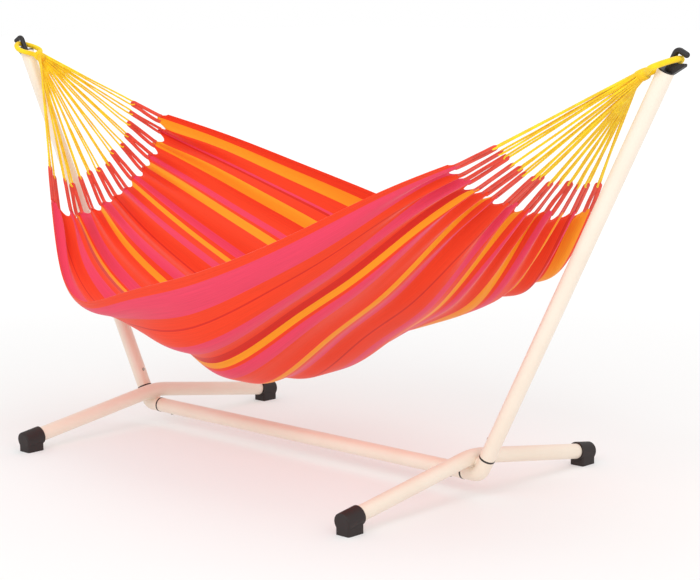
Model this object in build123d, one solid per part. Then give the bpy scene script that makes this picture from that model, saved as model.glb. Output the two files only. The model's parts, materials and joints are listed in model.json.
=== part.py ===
from build123d import *
from math import cos, pi, radians, sin, sqrt
import os

# Hammock hung between the two arms of a steel tube stand. Millimetres, +Z up, +X along the
# stand. The origin is on the ground, under the middle of the base beam.

# steel tube
tube_od = 42.4
tube_wall = 1.5

# stand
beam_height = 63.9        # base beam's centre line above the ground
corner_half_span = 665.7  # centre line of the beam to where the arm's line meets it
arm_lean = 28.0           # degrees from upright
arm_reach = 1206.5        # from that meeting point to the arm's top, along the arm
elbow_bend_radius = 30.0
foot_half_length = 489.0  # centre of the stand to a foot tube's end
foot_end_height = 34.0    # foot tube's centre line above the ground, at its end
foot_toe_out = 5.0        # how much further out a foot tube's end stands than its middle
foot_bend_radius = 260.0
weld_gap = 0.2            # between a foot tube and the elbow it is welded to
weld_radius = 14.0

# push joints between elbow and beam, and between elbow and arm
elbow_stub = 50.0         # corner to the shoulder of the elbow
spigot_length = 90.0
sleeve_clearance = 0.1    # bushing to tube and bushing to spigot, all round
sleeve_wall = 1.6
sleeve_length = 36.0
ring_thickness = 5.0
ring_proud = 0.6

# snap buttons
button_radius = 4.5
button_offset = 47.0      # button's centre to the tube's end
button_clearance = 0.3
button_proud = 3.0
button_travel = 6.6
button_flange_radius = 6.5
button_flange_thickness = 1.5
spring_width = 8.0
spring_thickness = 0.8
spring_length = 46.0
spring_clearance = 0.2

# feet
foot_cap_wall = 4.8
foot_cap_length = 62.0
foot_cap_overlap = 50.0   # length of tube inside the cap
foot_cap_round = 5.0
foot_pad_width = 46.0
foot_pad_inset = 3.0      # pad's ends, in from the cap's
foot_pad_round = 6.0
foot_fit = 0.1
foot_slope_guess = 8.5    # degrees; the slope is settled from here
foot_slope_rounds = 6

# arm top
plug_depth = 30.0
plug_clearance = 0.1
cap_thickness = 4.0
horn_radius = 7.5
horn_offset = 2.6         # horn's centre line, outboard of the arm's
horn_depth = 26.0         # horn's root, below the arm's top
horn_clearance = 2.5      # rope to the horn's curl above it
horn_bend_radius = 12.0
horn_overhang = 13.5      # from the rope's centre out to the end of the horn's centre line
lip_half_width = 7.0
lip_round = 2.5
lip_clearance = 4.5       # rope to the lip below it
lip_overhang = 23.5       # from the rope's centre out to the lip's tip
lip_tip = 7.0
lip_tip_lean = 2.0        # how far the top of the tip leans back in
lip_heel_rise = 2.0       # of the slope behind the tip, over the middle of the lip
lip_root = 2.0            # length at the arm that keeps its edges sharp

# rope eye
rope_radius = 8.0
rope_seat_gap = 0.4       # rope to horn
rope_seat_height = 41.0   # rope's centre above the arm's top, along the arm
neck_distance = 125.0     # rope seat to the outer end of the whipping
neck_slope = 21.0         # degrees below level
whipping_length = 30.0
whipping_radius = 14.5
whipping_round = 2.5
eye_clearance = 16.8      # rope to the arm's sides where the eye is widest, before it is rounded
eye_side_clearance = 3.0  # rope to the sides of the horn
eye_bend_radius = 40.0
eye_wide_at = 54.0

# fabric, tabs and cords
fabric_thickness = 3.0
tab_count = 14
tab_length = 100.0
tab_width = 24.0
tab_thickness = 4.0
soft_gap = 0.3
cord_radius = 1.2
cord_ring_radius = 11.0
cord_ring_spread = 300.0  # degrees of the whipping's end that the cords come out of

# the two edges of the bed and the line along its bottom, from the left end to the right
near_edge = [(-905, -175, 715), (-720, -285, 505), (-500, -375, 445), (-270, -415, 500),
             (-10, -425, 570), (240, -415, 655), (450, -390, 745), (650, -340, 840),
             (835, -270, 918)]
bottom_line = [(-905, 75, 685), (-720, 35, 598), (-480, 20, 490), (-230, 0, 365),
               (20, -30, 242), (270, 0, 360), (480, 0, 480), (660, -5, 630), (812, -35, 790)]
far_edge = [(-805, 175, 948), (-600, 290, 875), (-390, 365, 803), (-150, 405, 735),
            (70, 420, 670), (300, 415, 595), (520, 370, 565), (710, 285, 590), (880, 200, 775)]
section_points = 9

cut_past = 20.0           # how far a cutter runs past the surface it cuts

tube_radius = tube_od / 2
bore_radius = tube_radius - tube_wall
sleeve_outer = bore_radius - sleeve_clearance
sleeve_inner = sleeve_outer - sleeve_wall
spigot_radius = sleeve_inner - sleeve_clearance
spigot_bore = spigot_radius - tube_wall
lean = radians(arm_lean)
tube_start = elbow_stub + ring_thickness
foot_axis_rise = tube_od + weld_gap
foot_axis_inset = foot_axis_rise * (1 - sin(lean)) / cos(lean)
foot_x = corner_half_span - foot_axis_inset
foot_z = beam_height + foot_axis_rise
seat_offset = horn_offset + horn_radius + rope_seat_gap + rope_radius
horn_rise = rope_seat_height + rope_radius + horn_clearance + horn_radius
horn_reach = seat_offset + horn_overhang
lip_reach = seat_offset + lip_overhang
lip_top = rope_seat_height - rope_radius - lip_clearance
eye_half_width = tube_radius + rope_radius + eye_clearance

corner = Vector(corner_half_span, 0, beam_height)
arm_direction = Vector(sin(lean), 0, cos(lean))
outboard = Vector(cos(lean), 0, -sin(lean))
arm_top = corner + arm_direction * arm_reach
rope_seat = arm_top + outboard * seat_offset + arm_direction * rope_seat_height
neck_direction = Vector(-cos(radians(neck_slope)), 0, -sin(radians(neck_slope)))
neck = rope_seat + neck_direction * neck_distance

# planes with Z along a tube, starting at the corner, and X pointing outboard or up
beam_plane = Plane(origin=corner, x_dir=(0, 0, 1), z_dir=(-1, 0, 0))
arm_plane = Plane(origin=corner, x_dir=outboard, z_dir=arm_direction)
top_plane = Plane(origin=arm_top, x_dir=outboard, z_dir=arm_direction)


def rod(radius, low, high):
    """A cylinder along Z between two heights."""
    return Pos(0, 0, low) * Cylinder(radius, high - low, align=(Align.CENTER, Align.CENTER, Align.MIN))


def pipe(outer, inner, low, high):
    return rod(outer, low, high) - rod(inner, low - 1, high + 1)


def other_side(shape):
    return Rot(0, 0, 180) * shape


def swept_rod(path, radius):
    return sweep(Plane(origin=path @ 0, z_dir=path % 0) * Circle(radius), path)


def button_hole(extra):
    """A round cutter across one wall of a tube that runs along Z."""
    hole = Rot(0, -90, 0) * rod(button_radius + extra, 0, tube_od)
    return Pos(0, 0, tube_start + button_offset) * hole


def base_beam():
    half = corner_half_span - tube_start
    tube = Rot(0, 90, 0) * pipe(tube_radius, bore_radius, -half, half)
    tube = Pos(0, 0, beam_height) * tube
    hole = beam_plane * button_hole(button_clearance)
    return tube - hole - other_side(hole)


def arm_tube():
    tube = pipe(tube_radius, bore_radius, tube_start, arm_reach)
    return arm_plane * (tube - button_hole(button_clearance))


def elbow_path():
    return FilletPolyline(beam_plane.from_local_coords(Vector(0, 0, elbow_stub)), corner,
                          arm_plane.from_local_coords(Vector(0, 0, elbow_stub)),
                          radius=elbow_bend_radius)


def elbow():
    """Bent tube with a reduced spigot at each end."""
    path = elbow_path()
    body = swept_rod(path, tube_radius)
    inside = swept_rod(path, spigot_bore)
    for plane in (beam_plane, arm_plane):
        end = elbow_stub + spigot_length
        body += plane * rod(spigot_radius, elbow_stub - tube_wall, end)
        inside += plane * rod(spigot_bore, elbow_stub - tube_wall, end + 1)
    body -= inside
    for plane in (beam_plane, arm_plane):
        body -= plane * button_hole(button_clearance)
    return body


def foot_rise(radius, slope):
    """How far a bent tube's middle lies below the point where its two runs would meet."""
    return radius * (1 / cos(slope) - 1)


def foot_corners():
    slope = radians(foot_slope_guess)
    for _ in range(foot_slope_rounds):
        top = foot_z + foot_rise(foot_bend_radius, slope)
        slope = (top - foot_end_height) / foot_half_length
    return [Vector(foot_x + foot_toe_out, -foot_half_length, foot_end_height), Vector(foot_x, 0, top),
            Vector(foot_x + foot_toe_out, foot_half_length, foot_end_height)]


def foot_path():
    return FilletPolyline(*foot_corners(), radius=foot_bend_radius)


def foot_tube():
    return swept_rod(foot_path(), tube_radius) - swept_rod(foot_path(), bore_radius)


def foot_weld():
    """Weld metal round the two places where the foot tube lies against the elbow."""
    centre = Vector(foot_x, 0, foot_z)
    foot = swept_rod(foot_path(), tube_radius)
    bend = swept_rod(elbow_path(), tube_radius)
    pads = []
    for direction in (Vector(0, 0, -1), outboard):
        plane = Plane(origin=centre, z_dir=direction)
        pad = plane * rod(weld_radius, tube_radius - weld_radius / 2, foot_axis_rise - tube_radius / 2)
        pads.append(pad - foot - bend)
    return pads


def bushing(plane):
    """Plastic sleeve between tube and spigot, with a ring that shows at the joint."""
    sleeve = rod(sleeve_outer, tube_start, tube_start + sleeve_length)
    ring = rod(tube_radius + ring_proud, elbow_stub, tube_start)
    bore = rod(sleeve_inner, elbow_stub - cut_past, tube_start + sleeve_length + cut_past)
    return plane * (sleeve + ring - bore)


def snap_button(plane):
    """Pin with a domed head outside the tube and a flange inside the spigot."""
    top = tube_radius + button_proud
    root = spigot_bore - button_flange_thickness
    pin = rod(button_radius, root, top)
    pin = fillet(pin.edges().filter_by(GeomType.CIRCLE).sort_by(Axis.Z)[-1], button_proud / 2)
    flange_round = Rot(0, 90, 0) * rod(spigot_bore - spring_clearance, -tube_od, tube_od)
    flange = rod(button_flange_radius, root, spigot_bore) & flange_round
    button = pin + flange
    return plane * (Pos(0, 0, tube_start + button_offset) * (Rot(0, -90, 0) * button))


def button_spring(plane):
    """Leaf bent to a V inside the spigot; its free leg carries the button."""
    half = spring_width / 2
    inset = spring_clearance + spring_thickness / 2
    leg_top = spigot_bore - button_flange_thickness - inset
    floor = sqrt(spigot_bore ** 2 - half ** 2) - inset
    outline = Polyline((-leg_top, -half), (-leg_top, half), (floor, half - spring_length),
                       (floor, half), close=False)
    strip = offset(outline, spring_thickness / 2, side=Side.BOTH)
    leaf = extrude(Plane.XZ * make_face(strip.wires()[0]), half, both=True)
    return plane * (Pos(0, 0, tube_start + button_offset) * leaf)


def foot_caps():
    """Rubber cap on each end of a foot tube, with a flat pad under it."""
    low_end, top, high_end = foot_corners()
    caps = []
    for end in (low_end, high_end):
        inward = (top - end).normalized()
        plane = Plane(origin=end, z_dir=inward)
        outer = tube_radius + foot_cap_wall
        back = foot_cap_overlap - foot_cap_length
        barrel = rod(outer, back, foot_cap_overlap)
        barrel = fillet(barrel.edges().filter_by(GeomType.CIRCLE).sort_by(Axis.Z)[0], foot_cap_round)
        middle = end + inward * (foot_cap_overlap + back) / 2
        pad = Pos(middle.X, middle.Y, 0) * Box(
            foot_pad_width, foot_cap_length - 2 * foot_pad_inset, foot_end_height,
            align=(Align.CENTER, Align.CENTER, Align.MIN))
        pad = fillet(pad.edges().filter_by(Axis.Z), foot_pad_round)
        cap = plane * barrel + pad
        cap -= plane * rod(tube_radius + foot_fit, 0, foot_cap_overlap + cut_past)
        below_floor = Pos(middle.X, middle.Y, 0) * Box(
            foot_cap_length + outer, foot_cap_length + outer, outer + cut_past,
            align=(Align.CENTER, Align.CENTER, Align.MAX))
        caps.append(cap - below_floor)
    return caps


def horn():
    """Hook rod that rises out of the arm and curls outboard."""
    path = FilletPolyline((horn_offset, 0, -horn_depth), (horn_offset, 0, horn_rise),
                          (horn_reach, 0, horn_rise), radius=horn_bend_radius)
    tip = Pos(horn_reach, 0, horn_rise) * Sphere(horn_radius)
    return top_plane * (swept_rod(path, horn_radius) + tip)


def hook_cap(rod_shape):
    """Plug that closes the arm, with the lip that keeps the rope on the horn."""
    body = rod(bore_radius - plug_clearance, -plug_depth, 0) + rod(tube_radius + ring_proud, 0, cap_thickness)
    rope_side = seat_offset + rope_radius + lip_clearance / 2
    outline = Polyline((horn_offset, 0), (tube_radius, 0), (lip_reach, rope_seat_height - rope_radius),
                       (lip_reach - lip_tip_lean, rope_seat_height - rope_radius + lip_tip),
                       (rope_side, lip_top + rope_radius / 2 + lip_heel_rise), (seat_offset, lip_top),
                       (horn_offset, lip_top - lip_round / 2), close=True)
    lip = extrude(Plane.XZ * make_face(outline), lip_half_width, both=True)
    outer_edges = [e for e in lip.edges().filter_by(Axis.Y) if e.center().X > tube_radius + lip_root]
    lip = fillet(outer_edges, lip_round)
    return top_plane * (body + lip) - rod_shape


def eye_point(along, across):
    return rope_seat + neck_direction * along + Vector(0, across, 0)


def rope_eye():
    """Loop of rope over the horn; both its legs run into the whipping."""
    leg_gap = rope_radius + soft_gap
    end = neck_distance - whipping_length - soft_gap
    tip = horn_radius + rope_radius + eye_side_clearance
    tip_bend = tip - eye_side_clearance / 2
    path = FilletPolyline(
        eye_point(end, leg_gap), eye_point(eye_wide_at, eye_half_width), eye_point(0, tip),
        eye_point(0, -tip), eye_point(eye_wide_at, -eye_half_width), eye_point(end, -leg_gap),
        radius=[eye_bend_radius, tip_bend, tip_bend, eye_bend_radius])
    return swept_rod(path, rope_radius)


def whipping(eye):
    """Twine wound round the end of the eye, where its legs meet."""
    plane = Plane(origin=neck, z_dir=-neck_direction)
    roll = rod(whipping_radius, 0, whipping_length)
    roll = fillet(roll.edges().filter_by(GeomType.CIRCLE), whipping_round)
    return plane * roll - eye


def bed_rows():
    """Rows of points from edge to edge, one for each step along the bed."""
    rows = []
    for near, low, far in zip(near_edge, bottom_line, far_edge):
        near, low, far = Vector(near), Vector(low), Vector(far)
        row = []
        for step in range(section_points):
            turn = pi * step / (section_points - 1)
            row.append(near * (1 + cos(turn)) / 2 + far * (1 - cos(turn)) / 2
                       + (low - (near + far) / 2) * sin(turn))
        rows.append(row)
    return rows


def fabric_bed():
    surface = Face.make_surface_from_array_of_points(bed_rows())
    return Solid.thicken(surface, fabric_thickness)


def end_points(row):
    """Tab roots, evenly spaced along one end of the bed, with the direction of the end there."""
    curve = Spline(*row)
    roots = []
    for number in range(tab_count):
        place = (number + 0.5) / tab_count
        roots.append((curve @ place, curve % place))
    return roots


def cord_ring(side):
    """Where the cords leave the whipping, in a ring on its end."""
    lift = Vector(neck_direction.Z, 0, -neck_direction.X)
    ring = []
    for number in range(tab_count):
        turn = radians(cord_ring_spread * ((number + 0.5) / tab_count - 0.5))
        across = sin(turn) * cord_ring_radius
        point = neck - lift * cos(turn) * cord_ring_radius
        ring.append(Vector(point.X * side, across, point.Z))
    return ring


def tabs_and_cords(row, side, bed):
    tabs = []
    cords = []
    away = Vector(neck_direction.X * side, 0, neck_direction.Z)
    for (root, along_end), ring_point in zip(end_points(row), cord_ring(side)):
        # the edge of the cord's slanted end stands a gap off the whipping
        slant = (root - ring_point).get_angle(away)
        start = ring_point + away * (soft_gap + cord_radius * sin(radians(slant)))
        pull = (start - root).normalized()
        plane = Plane(origin=root, x_dir=along_end, z_dir=pull)
        tab = plane * Box(tab_width, tab_thickness, tab_length, align=(Align.CENTER, Align.CENTER, Align.MIN))
        tabs.append((tab - bed).solids().sort_by(SortBy.VOLUME)[-1])
        tip = root + pull * (tab_length + soft_gap)
        run = start - tip
        cords.append(Plane(origin=tip, z_dir=run) * rod(cord_radius, 0, run.length))
    return tabs, cords


def write(name, shapes):
    solids = []
    for shape in shapes:
        solids.extend(shape.solids())
    export_step(Compound(children=solids) if len(solids) > 1 else solids[0], f"parts/{name}.step")


def write_pair(name, shapes):
    write(f"right_{name}", shapes)
    write(f"left_{name}", [other_side(shape) for shape in shapes])


os.makedirs("parts", exist_ok=True)

horn_rod = horn()
eye = rope_eye()
bed = fabric_bed()
write("base_beam", [base_beam()])
write_pair("arm_tube", [arm_tube()])
write_pair("elbow", [elbow()])
write_pair("foot_tube", [foot_tube()])
write_pair("foot_weld", foot_weld())
write_pair("beam_bushing", [bushing(beam_plane)])
write_pair("arm_bushing", [bushing(arm_plane)])
write_pair("beam_button", [snap_button(beam_plane)])
write_pair("arm_button", [snap_button(arm_plane)])
write_pair("beam_spring", [button_spring(beam_plane)])
write_pair("arm_spring", [button_spring(arm_plane)])
near_cap, far_cap = foot_caps()
write("right_near_foot_cap", [near_cap])
write("right_far_foot_cap", [far_cap])
write("left_far_foot_cap", [other_side(near_cap)])
write("left_near_foot_cap", [other_side(far_cap)])
write_pair("hook_horn", [horn_rod])
write_pair("hook_cap", [hook_cap(horn_rod)])
write_pair("rope_eye", [eye])
write_pair("whipping", [whipping(eye)])
write("fabric_bed", [bed])
rows = bed_rows()
for side, label, row in ((-1, "left", rows[0]), (1, "right", rows[-1])):
    tabs, cords = tabs_and_cords(row, side, bed)
    write(f"{label}_tabs", tabs)
    write(f"{label}_cords", cords)
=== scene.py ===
import json
import math

import bpy
import numpy as np
from mathutils import Matrix, Vector


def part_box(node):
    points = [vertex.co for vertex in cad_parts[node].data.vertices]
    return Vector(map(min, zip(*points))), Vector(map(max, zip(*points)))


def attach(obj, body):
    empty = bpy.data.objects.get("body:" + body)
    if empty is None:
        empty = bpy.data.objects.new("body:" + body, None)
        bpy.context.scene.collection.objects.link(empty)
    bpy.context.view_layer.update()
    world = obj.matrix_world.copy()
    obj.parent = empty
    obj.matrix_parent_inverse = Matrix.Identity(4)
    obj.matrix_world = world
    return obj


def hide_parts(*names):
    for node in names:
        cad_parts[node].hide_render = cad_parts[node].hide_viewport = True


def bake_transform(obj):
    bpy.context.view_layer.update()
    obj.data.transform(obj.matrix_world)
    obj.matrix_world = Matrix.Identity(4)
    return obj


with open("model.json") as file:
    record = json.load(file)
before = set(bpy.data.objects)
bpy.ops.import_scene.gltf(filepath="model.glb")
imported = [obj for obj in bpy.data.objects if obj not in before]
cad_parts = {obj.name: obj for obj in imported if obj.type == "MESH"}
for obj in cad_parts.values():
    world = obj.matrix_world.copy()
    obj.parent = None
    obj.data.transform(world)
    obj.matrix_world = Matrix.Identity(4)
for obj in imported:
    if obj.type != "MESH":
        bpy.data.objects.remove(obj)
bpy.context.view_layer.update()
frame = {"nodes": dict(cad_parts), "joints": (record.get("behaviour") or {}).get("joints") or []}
mm = 0.001

# camera: stands low in front of the right arm and looks along the stand
camera = {"azimuth": 44.05, "elevation": 9.02, "roll": -0.57, "distance": 5.294,
          "target": (0.1988, 0.0, 0.5044), "lens": 98.96, "sensor": 36.0, "farClip": 60}


def addObject(name, data):
    obj = bpy.data.objects.new(name, data)
    bpy.context.scene.collection.objects.link(obj)
    return obj


def placeCamera(c):
    azimuth, elevation, roll = (math.radians(c[k]) for k in ("azimuth", "elevation", "roll"))
    back = Vector((math.sin(azimuth) * math.cos(elevation),
                   -math.cos(azimuth) * math.cos(elevation), math.sin(elevation)))
    right = (-back).cross(Vector((0, 0, 1))).normalized()
    up = right.cross(-back)
    turnedRight = right * math.cos(roll) + up * math.sin(roll)
    turnedUp = up * math.cos(roll) - right * math.sin(roll)
    data = bpy.data.cameras.new("camera")
    data.lens = c["lens"]
    data.sensor_width = c["sensor"]
    data.clip_end = c["farClip"]
    place = Matrix((turnedRight, turnedUp, back)).transposed().to_4x4()
    place.translation = Vector(c["target"]) + back * c["distance"]
    view = addObject("camera", data)
    view.matrix_world = place
    bpy.context.scene.camera = view


placeCamera(camera)
print("camera placed")


# colour, node and mesh helpers

def linear(hexCode):
    parts = [int(hexCode[i:i + 2], 16) / 255 for i in (1, 3, 5)]
    return tuple(c / 12.92 if c <= 0.04045 else ((c + 0.055) / 1.055) ** 2.4
                 for c in parts) + (1.0,)


def addNode(tree, kind, settings=None, links=None):
    # settings: input name or attribute to value; links: input name to a socket
    node = tree.nodes.new(kind)
    for key, value in (settings or {}).items():
        if isinstance(key, int) or key in node.inputs:
            node.inputs[key].default_value = value
        else:
            setattr(node, key, value)
    for key, socket in (links or {}).items():
        tree.links.new(socket, node.inputs[key])
    return node


def newMaterial(name, settings):
    material = bpy.data.materials.new(name)
    material.use_nodes = True
    tree = material.node_tree
    tree.nodes.clear()
    shader = addNode(tree, "ShaderNodeBsdfPrincipled", settings)
    out = addNode(tree, "ShaderNodeOutputMaterial")
    tree.links.new(shader.outputs[0], out.inputs["Surface"])
    return material, tree, shader


def addDrift(tree, shader, scale, detail, shades, spots=(0.0, 1.0)):
    # lets the base colour drift between two close shades, and gives back the drift
    place = addNode(tree, "ShaderNodeTexCoord")
    tone = addNode(tree, "ShaderNodeTexNoise", {"Scale": scale, "Detail": detail},
                   {"Vector": place.outputs["Object"]})
    ramp = addNode(tree, "ShaderNodeValToRGB", links={"Fac": tone.outputs["Fac"]})
    for mark, spot, shade in zip(ramp.color_ramp.elements, spots, shades):
        mark.position = spot
        mark.color = linear(shade)
    tree.links.new(ramp.outputs[0], shader.inputs["Base Color"])
    return tone.outputs["Fac"]


def addGrain(tree, shader, scale, detail, strength, depth):
    # relief of fibres, dimples or moulded grain, depth in metres
    place = addNode(tree, "ShaderNodeTexCoord")
    fine = addNode(tree, "ShaderNodeTexNoise", {"Scale": scale, "Detail": detail},
                   {"Vector": place.outputs["Object"]})
    bump = addNode(tree, "ShaderNodeBump", {"Strength": strength, "Distance": depth},
                   {"Height": fine.outputs["Fac"]})
    tree.links.new(bump.outputs[0], shader.inputs["Normal"])


def dress(obj, *materials):
    obj.data.materials.clear()
    for material in materials:
        obj.data.materials.append(material)
    return obj


def addMesh(name, points, faces, uv=None):
    mesh = bpy.data.meshes.new(name)
    mesh.from_pydata([tuple(p) for p in points], [], [tuple(f) for f in faces])
    if uv is not None:
        layer = mesh.uv_layers.new(name="metres")
        corners = np.empty(len(mesh.loops), dtype=np.int32)
        mesh.loops.foreach_get("vertex_index", corners)
        layer.data.foreach_set("uv", np.asarray(uv, dtype=np.float32)[corners].ravel())
    mesh.shade_smooth()
    mesh.update()
    return addObject(name, mesh)


# lines and directions

def unit(v):
    return v / np.linalg.norm(v, axis=-1, keepdims=True)


def runAlong(line):
    # distance from the line's start to each of its points
    return np.concatenate([[0], np.cumsum(np.linalg.norm(np.diff(line, axis=0), axis=1))])


def evenly(line, places):
    # points along a polyline at places from 0 to 1 of its length
    run = runAlong(line)
    return np.stack([np.interp(np.asarray(places) * run[-1], run, line[:, k])
                     for k in range(3)], 1)


def smoothLine(points, count):
    # natural cubic through evenly spaced knots, read at count places
    y = np.array(points, float)
    n = len(y)
    a = np.zeros((n, n))
    b = np.zeros_like(y)
    a[0, 0] = a[-1, -1] = 1
    for i in range(1, n - 1):
        a[i, i - 1:i + 2] = (1, 4, 1)
        b[i] = 6 * (y[i - 1] - 2 * y[i] + y[i + 1])
    m = np.linalg.solve(a, b)
    t = np.linspace(0, n - 1, count)
    i = np.minimum(t.astype(int), n - 2)
    f = (t - i)[:, None]
    g = 1 - f
    return g * y[i] + f * y[i + 1] + ((g ** 3 - g) * m[i] + (f ** 3 - f) * m[i + 1]) / 6


def cornerCut(points, times):
    # rounds an open run of straight lines, a quarter off each side at a time
    p = np.asarray(points, float)
    for _ in range(times):
        a, c = p[:-1], p[1:]
        cut = np.stack([a * 0.75 + c * 0.25, a * 0.25 + c * 0.75], 1).reshape(-1, 3)
        p = np.concatenate([p[:1], cut, p[-1:]])
    return p


# cloth bed

bed = {
    "width": 1.32, "length": 2.06, "thickness": 0.0014, "hemThickness": 0.0030, "hemRows": 3,
    "tabs": 14, "colsPerTab": 12, "rows": 181, "seed": 5,
    # gathers between the tabs: depth at the hem, shortest and longest run into the cloth
    "foldDepth": 0.032, "depthVary": (0.75, 1.15), "foldFade": 1.6,
    "foldReach": (0.22, 0.42), "longReach": (0.60, 1.00), "longEvery": 3,
    # half width in tabs, at the hem and at most; widening and wander for each metre away
    "foldHalf": (0.5, 0.85), "foldWiden": 0.55, "foldDrift": 0.5,
    # shallower right at the hem, and near both sides
    "hemCalm": 0.6, "sideTabs": 0.8, "sideDepth": 0.15,
    # slack left in the middle, in waves across a tab and along the bed
    "softFold": 0.0026, "softFolds": 6, "softAcross": (0.2, 0.75), "softAlong": (-1.3, 1.3),
    # how far the hem falls back between tabs, and the half width that is sewn to a tab
    "scallop": 0.036, "scallopReach": 0.07, "scallopRound": 0.7, "sewnHalf": 0.2,
    # edge, belly and edge again, from the left end to the right, in millimetres
    "near": [(-905, -175, 715), (-720, -285, 505), (-500, -375, 445), (-270, -415, 500),
             (-10, -425, 570), (240, -415, 655), (450, -390, 745), (650, -340, 840),
             (835, -270, 918)],
    "belly": [(-905, 75, 685), (-720, 35, 598), (-480, 20, 490), (-230, 0, 365),
              (20, -30, 236), (270, 0, 360), (480, 0, 480), (660, -5, 630), (812, -35, 790)],
    "far": [(-805, 175, 948), (-600, 290, 875), (-390, 365, 803), (-150, 405, 735),
            (70, 420, 670), (300, 415, 595), (520, 370, 565), (710, 285, 590),
            (880, 200, 775)],
}


def bedShape(b, cols):
    # smooth open shape that the cloth keeps, row by row, before it has any folds
    near, belly, far = ((smoothLine(b[k], b["rows"]) * mm)[:, None]
                        for k in ("near", "belly", "far"))
    turn = np.linspace(0, np.pi, 4 * cols)[None, :, None]
    surface = near * (1 + np.cos(turn)) / 2 + far * (1 - np.cos(turn)) / 2
    surface = surface + (belly - (near + far) / 2) * np.sin(turn)
    return np.stack([evenly(row, np.linspace(0, 1, cols)) for row in surface])


def foldField(b, t, s):
    # depth of the gathers: creases run in from the gaps between tabs and die away
    rng = np.random.default_rng(b["seed"])
    total = np.zeros((len(t), s.shape[1]))
    for away in (t * b["length"], (1 - t) * b["length"]):
        half = np.minimum(b["foldHalf"][0] + away * b["foldWiden"], b["foldHalf"][1])
        calm = 1 - b["hemCalm"] * np.exp(-away / b["scallopReach"])
        for gap in range(1, b["tabs"]):
            reach = rng.uniform(*b["longReach" if gap % b["longEvery"] == 0 else "foldReach"])
            drift = rng.normal() * b["foldDrift"] * away
            u = np.clip((s - gap - drift) / half, -1, 1)
            depth = b["foldDepth"] * rng.uniform(*b["depthVary"])
            fade = np.exp(-(away / reach) ** b["foldFade"]) * calm
            total += depth * fade * (1 + np.cos(np.pi * u)) / 2
    for _ in range(b["softFolds"]):
        across, along = rng.uniform(*b["softAcross"]), rng.uniform(*b["softAlong"])
        start = rng.uniform(0, 1)
        total += b["softFold"] * np.sin(2 * np.pi * (across * s + along * t + start))
    fromSide = np.minimum(s, b["tabs"] - s)
    return total * np.clip(fromSide / b["sideTabs"], b["sideDepth"], 1)


def hangCloth(b):
    # the open, loaded shape, then gathers inward from it, then the hem scalloped between tabs
    cols = b["tabs"] * b["colsPerTab"] + 1
    shape = bedShape(b, cols)
    t = np.linspace(0, 1, b["rows"])[:, None]
    s = np.linspace(0, b["tabs"], cols)[None, :]
    along = np.gradient(shape, axis=0)
    inward = unit(np.cross(along, np.gradient(shape, axis=1)))
    folded = shape + inward * foldField(b, t, s)[..., None]
    fromTab = np.abs(s % 1 - 0.5)
    free = np.clip((fromTab - b["sewnHalf"]) / (0.5 - b["sewnHalf"]), 0, 1)
    fall = b["scallop"] * np.sin(np.pi / 2 * free) ** b["scallopRound"]
    fromLeft = np.exp(-t * b["length"] / b["scallopReach"])
    fromRight = np.exp(-(1 - t) * b["length"] / b["scallopReach"])
    return folded + unit(along) * (fall * (fromLeft - fromRight))[..., None]


cloth = hangCloth(bed)
print("cloth shaped", cloth.shape)


def clothPiece(name, part, uvPart, thickness):
    rows, cols = part.shape[:2]
    index = np.arange(rows * cols).reshape(rows, cols)
    faces = np.stack([index[:-1, :-1], index[1:, :-1], index[1:, 1:], index[:-1, 1:]], -1)
    obj = addMesh(name, part.reshape(-1, 3), faces.reshape(-1, 4), uvPart.reshape(-1, 2))
    skin = obj.modifiers.new("skin", "SOLIDIFY")
    skin.thickness = thickness
    skin.offset = 0
    finer = obj.modifiers.new("finer", "SUBSURF")
    finer.levels = finer.render_levels = 1
    return obj


clothUv = np.stack(np.meshgrid(np.linspace(0, bed["width"], cloth.shape[1]),
                               np.linspace(0, bed["length"], cloth.shape[0])), -1)
bedPiece = clothPiece("cloth_bed", cloth, clothUv, bed["thickness"])

# striped cloth material

stripes = [  # width in millimetres and yarn colour, with painted shade for the darker flame bands, from the near edge to the far one
    (26, "flame"), (86, "rose"), (34, "flame"), (8, "shaded_flame"), (44, "flame"), (46, "rose"),
    (30, "flame"), (26, "shaded_flame"), (22, "amber"), (10, "flame"), (40, "rose"), (96, "flame"),
    (24, "amber"), (20, "flame"), (40, "rose"), (64, "flame"), (10, "shaded_flame"), (54, "flame"),
    (36, "rose"), (32, "flame"), (26, "amber"), (22, "flame"), (32, "rose"), (88, "flame"),
    (40, "amber"), (14, "flame"), (32, "rose"), (66, "flame"), (46, "amber"), (44, "flame"),
    (8, "shaded_flame"), (10, "rose"), (56, "flame"), (44, "amber"), (44, "flame"),
]
# the darkest red is painted shade: flame darkened in bands where shading lines of the folds run
# along the cloth; the other three are the yarns' own colours
yarnsAndShade = {"flame": "#EF4529", "rose": "#E94C66", "amber": "#F89608", "shaded_flame": "#D62A1C"}


def stripeRamp(tree, position, bands):
    ramp = addNode(tree, "ShaderNodeValToRGB", links={"Fac": position})
    ramp.color_ramp.interpolation = "CONSTANT"
    marks = ramp.color_ramp.elements
    marks.remove(marks[1])
    for number, (start, stripeColour) in enumerate(bands):
        mark = marks[0] if number == 0 else marks.new(start)
        mark.position = start
        mark.color = linear(yarnsAndShade[stripeColour])
    return ramp.outputs[0]


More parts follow.
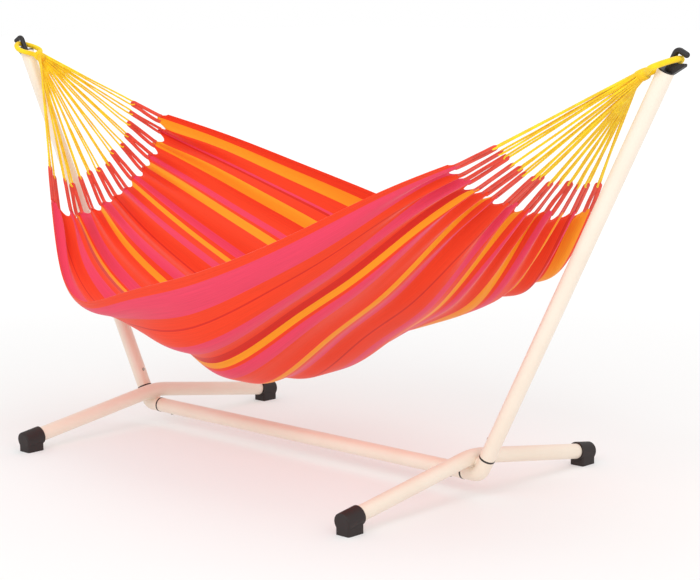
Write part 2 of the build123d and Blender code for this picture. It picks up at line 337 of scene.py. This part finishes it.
def stripedCotton():
    # plain-woven cotton: dull, a soft sheen at grazing angles, and thread streaks lengthwise
    material, tree, shader = newMaterial("striped_woven_cotton", {
        "Roughness": 0.85, "IOR": 1.5, "Sheen Weight": 0.25, "Sheen Roughness": 0.4})
    uv = addNode(tree, "ShaderNodeUVMap", {"uv_map": "metres"})
    split = addNode(tree, "ShaderNodeSeparateXYZ", links={"Vector": uv.outputs[0]})
    total = sum(width for width, stripeColour in stripes)
    start, bands = 0.0, []
    for width, stripeColour in stripes:
        bands.append((start / total, stripeColour))
        start += width
    # one ramp can't hold all the bands, so each half of the width has its own
    position = addNode(tree, "ShaderNodeMath", {"operation": "DIVIDE", 1: bed["width"]},
                       {0: split.outputs["X"]}).outputs[0]
    half = len(bands) // 2
    first = stripeRamp(tree, position, bands[:half])
    second = stripeRamp(tree, position, [(0.0, bands[half][1])] + bands[half + 1:])
    side = addNode(tree, "ShaderNodeMath", {"operation": "GREATER_THAN", 1: bands[half][0]},
                   {0: position})
    colour = addNode(tree, "ShaderNodeMix", {"data_type": "RGBA"},
                     {0: side.outputs[0], 6: first, 7: second})
    # threads run the length of the cloth: streaks about 3 mm apart and a hand long
    stretch = addNode(tree, "ShaderNodeMapping", {"Scale": (330.0, 6.0, 1.0)},
                      {"Vector": uv.outputs[0]})
    streak = addNode(tree, "ShaderNodeTexNoise", {"Scale": 1.0, "Detail": 3.0},
                     {"Vector": stretch.outputs[0]})
    tone = addNode(tree, "ShaderNodeMapRange", {"To Min": 0.86, "To Max": 1.12},
                   {"Value": streak.outputs["Fac"]})
    woven = addNode(tree, "ShaderNodeHueSaturation", {"Saturation": 1.04},
                    {"Value": tone.outputs[0], "Color": colour.outputs[2]})
    tree.links.new(woven.outputs[0], shader.inputs["Base Color"])
    # plain weave: a thread every 4.8 mm so that it shows, where real ones are about 1 mm apart
    warp, weft = (addNode(tree, "ShaderNodeTexWave", {
        "wave_type": "BANDS", "bands_direction": way, "Scale": 66.0, "Distortion": 0.6},
        {"Vector": uv.outputs[0]}) for way in "XY")
    weave = addNode(tree, "ShaderNodeMath", {"operation": "MULTIPLY"},
                    {0: warp.outputs["Fac"], 1: weft.outputs["Fac"]})
    bump = addNode(tree, "ShaderNodeBump", {"Strength": 0.3, "Distance": 0.0005},
                   {"Height": weave.outputs[0]})
    tree.links.new(bump.outputs[0], shader.inputs["Normal"])
    return material


dress(bedPiece, stripedCotton())
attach(bedPiece, "hammock")
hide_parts("fabric_bed")


# hems: the cloth is turned over along its sides and doubled where the tabs are sewn on

def buildHems(b, p, uv):
    first, last, whole = slice(0, b["hemRows"]), slice(-b["hemRows"], None), slice(None)
    spans = {"near_side_hem": (whole, first), "far_side_hem": (whole, last),
             "left_end_hem": (first, whole), "right_end_hem": (last, whole)}
    return [clothPiece(name, p[span], uv[span], b["hemThickness"])
            for name, span in spans.items()]


hems = buildHems(bed, cloth, clothUv)
for hem in hems:
    dress(hem, bedPiece.data.materials[0])
    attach(hem, "hammock")
print("cloth and hems built")

# rope eyes, whippings, cords and tabs

# a lay is the mean, depth, strands and pitch of a wound or twisted surface
hook = {
    "slope": 21.0, "neckDistance": 0.125,
    # the eye: a rope loop, widest some way in from where it bears on the hook
    "eyeRadius": 0.008, "eyeWide": 0.046, "eyeWideAt": 0.054, "eyeTip": 0.0185,
    "eyeLay": (0.93, 0.05, 1, 0.0026),
    # its two ends lie side by side in the whipping and open out just before it
    "legGap": 0.0072, "legOpen": 0.009, "legOpenAt": 0.022,
    "whipLength": 0.030, "whipRadius": 0.0145, "whipEnds": 0.90,
    "whipLay": (1.0, 0.04, 1, 0.0026),
}
fan = {
    "seed": 11,
    # cords meet the whipping round a ring, open at the top
    "ring": 0.0105, "ringSpread": 300.0, "intoNeck": 0.008,
    # a cord's two runs: half gap, and its share at metres from the tip, then at shares of the way
    "cordRadius": 0.0027, "cordLay": (1.0, 0.16, 3, 0.016), "pairGap": 0.0062,
    "pairNear": ((0.0, 0.9), (0.012, 1.0), (0.05, 0.85), (0.12, 0.6)),
    "pairFar": ((0.5, 0.475), (0.7, 0.425), (0.85, 0.3875), (1.0, 0.35)),
    "pairTurn": 0.9, "turnVary": 0.45, "cordWander": 0.0007, "loopDip": 0.006,
    # a tab: two rolled legs from the hem to a loop
    "tabLength": 0.096, "lengthVary": (0.9, 1.06), "tipWander": 0.003, "sewn": 0.014,
    "legWide": 0.0056, "legThick": 0.0027, "legCols": 2, "tabLay": (1.0, 0.10, 3, -0.4712),
    "tipRadius": 0.0052, "tipNarrow": 0.8, "legBend": 0.45, "legSag": 0.004, "legClose": 0.3,
}
sideways = np.array([0, 1.0, 0])
swingHeight = next(j["pos_m"][2] for j in frame["joints"] if j["name"] == "hammock_swing")
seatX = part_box("right_rope_eye")[1].x - hook["eyeRadius"]


def tube(points, radius, sides, lay, across, flat=1.0):
    # closed-ended tube; across points at its first side; uv is metres along and around
    mean, depth, strands, pitch = lay
    points = np.asarray(points, float)
    tangent = unit(np.gradient(points, axis=0))
    first = unit(across - (tangent @ across)[:, None] * tangent)
    second = np.cross(tangent, first)
    run = runAlong(points)[:, None]
    turn = np.linspace(0, 2 * np.pi, sides, endpoint=False)[None, :]
    swell = mean + depth * np.cos(strands * (turn - 2 * np.pi * run / pitch))
    size = np.asarray(radius, float).reshape(-1, 1) * swell
    ring = (first[:, None] * (size * np.cos(turn))[..., None]
            + second[:, None] * (size * flat * np.sin(turn))[..., None])
    verts = (points[:, None] + ring).reshape(-1, 3)
    uv = np.stack(np.broadcast_arrays(run, turn * np.mean(radius)), -1).reshape(-1, 2)
    index = np.arange(len(verts)).reshape(len(points), sides)
    beside = np.roll(index, -1, axis=1)
    faces = np.stack([index[:-1], beside[:-1], beside[1:], index[1:]], -1)
    faces = faces.reshape(-1, 4).tolist() + [index[0][::-1].tolist(), index[-1].tolist()]
    return verts, faces, uv


def joinParts(parts):
    verts, faces, uvs, base = [], [], [], 0
    for v, f, u in parts:
        verts.append(v)
        faces += [[i + base for i in face] for face in f]
        uvs.append(u)
        base += len(v)
    return np.concatenate(verts), faces, np.concatenate(uvs)


def hookPlaces(side):
    # where the eye bears on the hook, the way in from there, its upward normal, and the neck
    slope = math.radians(hook["slope"])
    seat = np.array([seatX * side, 0, swingHeight])
    inward = np.array([-math.cos(slope) * side, 0, -math.sin(slope)])
    lift = np.array([-math.sin(slope) * side, 0, math.cos(slope)])
    return {"seat": seat, "inward": inward, "lift": lift,
            "neck": seat + inward * hook["neckDistance"]}


def eyeParts(side):
    places = hookPlaces(side)
    end = hook["neckDistance"] - hook["whipLength"] / 2
    half = [(end, hook["legGap"]), (end - hook["legOpenAt"], hook["legOpen"]),
            (hook["eyeWideAt"], hook["eyeWide"]), (0, hook["eyeTip"])]
    both = half + [(s, -w) for s, w in half[::-1]]
    corners = [places["seat"] + places["inward"] * s + sideways * w for s, w in both]
    path = evenly(cornerCut(corners, 5), np.linspace(0, 1, 420))
    return tube(path, hook["eyeRadius"], 16, hook["eyeLay"], np.array([0, 0, 1.0]))


def whipParts(side):
    # a collar of twine, its ends a little thinner than its middle
    places = hookPlaces(side)
    t = np.linspace(0, 1, 80)
    path = places["neck"] - places["inward"] * hook["whipLength"] * t[:, None]
    crown = np.sin(np.pi * np.clip(t, 0.02, 0.98)) ** 0.5
    radius = hook["whipRadius"] * (hook["whipEnds"] + (1 - hook["whipEnds"]) * crown)
    return tube(path, radius, 28, hook["whipLay"], sideways)


def tabRoots(side):
    # the two hem points of each tab, with the cloth's inward direction at each
    end, inside = (0, 3) if side < 0 else (-1, -4)
    roots = []
    for tab in range(bed["tabs"]):
        middle = tab * bed["colsPerTab"] + bed["colsPerTab"] // 2
        columns = (middle - fan["legCols"], middle + fan["legCols"])
        roots.append([(cloth[end, c], unit(cloth[inside, c] - cloth[end, c]))
                      for c in columns])
    return roots


def tabPath(rng, legs, ringAt):
    # up one leg, round the tip and down the other; also the tip, face and spread directions
    middle = (legs[0][0] + legs[1][0]) / 2
    pullWay = unit(ringAt - middle)
    face = unit(np.cross(pullWay, unit(legs[1][0] - legs[0][0])))
    spread = np.cross(face, pullWay)
    length = fan["tabLength"] * rng.uniform(*fan["lengthVary"])
    wander = rng.uniform(-fan["tipWander"], fan["tipWander"])
    tip = middle + pullWay * length + spread * wander
    bend, r = fan["legBend"], fan["tipRadius"]
    corners = []
    for (at, into), sign in zip(legs, (-1, 1)):
        close = tip + spread * sign * r
        leg = [at + into * fan["sewn"], at,
               at * (1 - bend) + close * bend - pullWay * fan["legSag"],
               close - pullWay * length * fan["legClose"], close,
               tip + spread * sign * r * fan["tipNarrow"] + pullWay * r]
        corners += leg if sign < 0 else leg[::-1]
    return evenly(cornerCut(corners, 4), np.linspace(0, 1, 64)), tip, face, spread


def cordPath(rng, tip, stop, face, spread):
    # one cord goes through the tab's loop and both its ends run up to the whipping
    turn = fan["pairTurn"] + rng.uniform(-fan["turnVary"], fan["turnVary"])
    apart = (face * math.cos(turn) + spread * math.sin(turn)) * fan["pairGap"]
    run = unit(stop - tip)
    up = [(tip + run * away, gap) for away, gap in fan["pairNear"]]
    up += [(tip * (1 - share) + stop * share, gap) for share, gap in fan["pairFar"]]
    wavy = [rng.normal(0, fan["cordWander"], 3) for _ in up]
    one = [at + apart * gap + w for (at, gap), w in zip(up, wavy)]
    other = [at - apart * gap + w for (at, gap), w in zip(up, wavy[::-1])]
    corners = one[::-1] + [tip - run * fan["loopDip"]] + other
    return evenly(cornerCut(corners, 3), np.linspace(0, 1, 240))


def fanParts(side):
    places = hookPlaces(side)
    rng = np.random.default_rng(fan["seed"] + side)
    tabs, cords = [], []
    for number, legs in enumerate(tabRoots(side)):
        turn = math.radians(fan["ringSpread"]) * ((number + 0.5) / bed["tabs"] - 0.5)
        spoke = sideways * math.sin(turn) - places["lift"] * math.cos(turn)
        ringAt = places["neck"] + spoke * fan["ring"]
        path, tip, face, spread = tabPath(rng, legs, ringAt)
        tabs.append(tube(path, fan["legThick"], 12, fan["tabLay"], face,
                         flat=fan["legWide"] / fan["legThick"]))
        stop = ringAt - places["inward"] * fan["intoNeck"]
        path = cordPath(rng, tip, stop, face, spread)
        cords.append(tube(path, fan["cordRadius"], 9, fan["cordLay"], face))
    return tabs, cords


def spunCotton(name, shades, grain):
    # soft spun cotton: matt, a faint sheen, darker where the lay of the fibres turns away
    material, tree, shader = newMaterial(name, {
        "Roughness": 0.82, "IOR": 1.5, "Sheen Weight": 0.3, "Sheen Roughness": 0.5})
    addDrift(tree, shader, 35.0, 5.0, shades, (0.3, 0.7))
    addGrain(tree, shader, grain, 3.0, 0.35, 0.0008)  # fibres stand up about 1 mm apart
    return material


cordCotton = spunCotton("laid_cotton_cord", ("#F2BE00", "#FFE000"), 900.0)
tapeCotton = spunCotton("folded_cotton_tape", ("#D23A26", "#EC4A33"), 1100.0)
for side, label in ((-1, "left"), (1, "right")):
    tabs, cords = fanParts(side)
    for name, parts, node, material, slot in (
            ("tab_loops", tabs, "tabs", tapeCotton, "red_tab"),
            ("cord_fan", cords, "cords", cordCotton, "yellow_cord"),
            ("wound_eye", [eyeParts(side)], "rope_eye", cordCotton, "yellow_cord"),
            ("wound_neck", [whipParts(side)], "whipping", cordCotton, "yellow_cord")):
        piece = dress(addMesh(f"{label}_{name}", *joinParts(parts)), material)
        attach(piece, "hammock")
        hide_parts(f"{label}_{node}")
print("tabs, cords and eyes built")


# stand finishes

def powderCoat():
    # powder-coated steel: cream, satin, with the faint orange peel that the coat sets with
    material, tree, shader = newMaterial("satin_powder_coat", {
        "Roughness": 0.38, "IOR": 1.5, "Coat Weight": 0.15, "Coat Roughness": 0.25})
    addDrift(tree, shader, 7.0, 3.0, ("#EFDFCC", "#F6EBDC"))
    addGrain(tree, shader, 600.0, 2.0, 0.12, 0.0004)  # peel dimples are 1 to 2 mm across
    return material


def mouldedBlack(name, shades, roughness, grain):
    # moulded plastic or rubber: near black, its fine grain breaks up the highlight
    material, tree, shader = newMaterial(name, {"IOR": 1.5})
    drift = addDrift(tree, shader, 60.0, 4.0, shades)
    rough = addNode(tree, "ShaderNodeMapRange", {
        "To Min": roughness - 0.08, "To Max": roughness + 0.1}, {"Value": drift})
    tree.links.new(rough.outputs[0], shader.inputs["Roughness"])
    addGrain(tree, shader, grain, 2.0, 0.2, 0.0003)
    return material


def platedSteel():
    # zinc-plated steel: dull grey metal with faint cloudy patches
    material, tree, shader = newMaterial("zinc_plated_steel", {"Metallic": 1.0})
    drift = addDrift(tree, shader, 250.0, 3.0, ("#A9A59C", "#CBC8C0"))
    rough = addNode(tree, "ShaderNodeMapRange", {"To Min": 0.3, "To Max": 0.5},
                    {"Value": drift})
    tree.links.new(rough.outputs[0], shader.inputs["Roughness"])
    return material


cream = powderCoat()
blackPlastic = mouldedBlack("moulded_nylon", ("#161112", "#221C1C"), 0.42, 900.0)
blackRubber = mouldedBlack("moulded_rubber", ("#1E1413", "#2C201F"), 0.62, 500.0)
zinc = platedSteel()
finishes = {"arm_tube": cream, "elbow": cream, "foot_tube": cream, "foot_weld": cream,
            "base_beam": cream, "bushing": blackPlastic, "foot_cap": blackRubber,
            "hook": blackPlastic, "button": zinc, "spring": zinc}
for name, node in frame["nodes"].items():
    for key, material in finishes.items():
        if key in name:
            dress(node, material)


def leafSpring(name):
    # a copy of the leaf, whose one leg stays on the tube and one rides the button, stands in for
    # the imported spring
    node = frame["nodes"][name]
    piece = addObject(name.replace("spring", "leaf"), node.data.copy())
    piece.matrix_world = node.matrix_world.copy()
    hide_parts(name)
    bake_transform(piece)
    return dress(piece, zinc)


for joint in frame["joints"]:
    if joint["name"].endswith("button_press"):
        leafSpring(joint["name"].replace("button_press", "spring"))
print("stand dressed")


# floor and light

studio = {
    "floorHalf": 40, "aim": (0, 0, 0.6), "roomLight": 0.80,
    # the floor's glow, painted light that lifts the shade near the stand, and how far from the
    # stand it starts and is full
    "glow": (0.36, 1.0), "glowReach": (1.0, 4.5), "floorPaint": ("#C6C5C4", "#404040"),
    # place, size and power
    "lamps": {"key": ((1.5, -5.0, 4.2), 3.0, 95), "fill": ((5.0, -1.5, 2.8), 2.5, 40),
              "top": ((0.0, 1.0, 4.6), 3.0, 30)},
}


def studioFloor():
    # matt floor: takes shadows near the stand, softened by a painted glow, and glows to white
    # further out
    material, tree, shader = newMaterial("matt_glowing_floor", {
        "Roughness": 0.9, "Emission Color": linear("#FFFFFF")})
    (least, most), (start, full) = studio["glow"], studio["glowReach"]
    place = addNode(tree, "ShaderNodeTexCoord")
    away = addNode(tree, "ShaderNodeVectorMath", {"operation": "LENGTH"},
                   {0: place.outputs["Object"]})
    glow = addNode(tree, "ShaderNodeMapRange", {
        "From Min": start, "From Max": full, "To Min": least, "To Max": most},
        {"Value": away.outputs["Value"]})
    paint = addNode(tree, "ShaderNodeValToRGB", links={"Fac": glow.outputs[0]})
    paint.color_ramp.elements[0].position = least
    for mark, shade in zip(paint.color_ramp.elements, studio["floorPaint"]):
        mark.color = linear(shade)
    tree.links.new(paint.outputs[0], shader.inputs["Base Color"])
    # painted light: the floor glows though it is no lamp, faintly near the stand to lift its
    # shadows and fully further out
    tree.links.new(glow.outputs[0], shader.inputs["Emission Strength"])
    return material


def buildStage():
    size = studio["floorHalf"]
    floor = addMesh("floor", [(-size, -size, 0), (size, -size, 0), (size, size, 0),
                              (-size, size, 0)], [(0, 1, 2, 3)])
    dress(floor, studioFloor())
    # the lens sees clean white; the room lights the piece more softly than that
    world = bpy.data.worlds.new("studio")
    world.use_nodes = True
    sky = world.node_tree
    seen = addNode(sky, "ShaderNodeLightPath")
    strength = addNode(sky, "ShaderNodeMapRange", {
        "To Min": studio["roomLight"], "To Max": 1.0}, {"Value": seen.outputs["Is Camera Ray"]})
    sky.nodes["Background"].inputs["Color"].default_value = linear("#FFFFFF")
    sky.links.new(strength.outputs[0], sky.nodes["Background"].inputs["Strength"])
    bpy.context.scene.world = world
    bpy.context.scene.view_settings.view_transform = "Standard"
    for name, (place, size, power) in studio["lamps"].items():
        data = bpy.data.lights.new(name, "AREA")
        data.size = size
        data.energy = power
        lamp = addObject(name, data)
        lamp.location = place
        aim = Vector(studio["aim"]) - Vector(place)
        lamp.rotation_euler = aim.to_track_quat("-Z", "Y").to_euler()


buildStage()
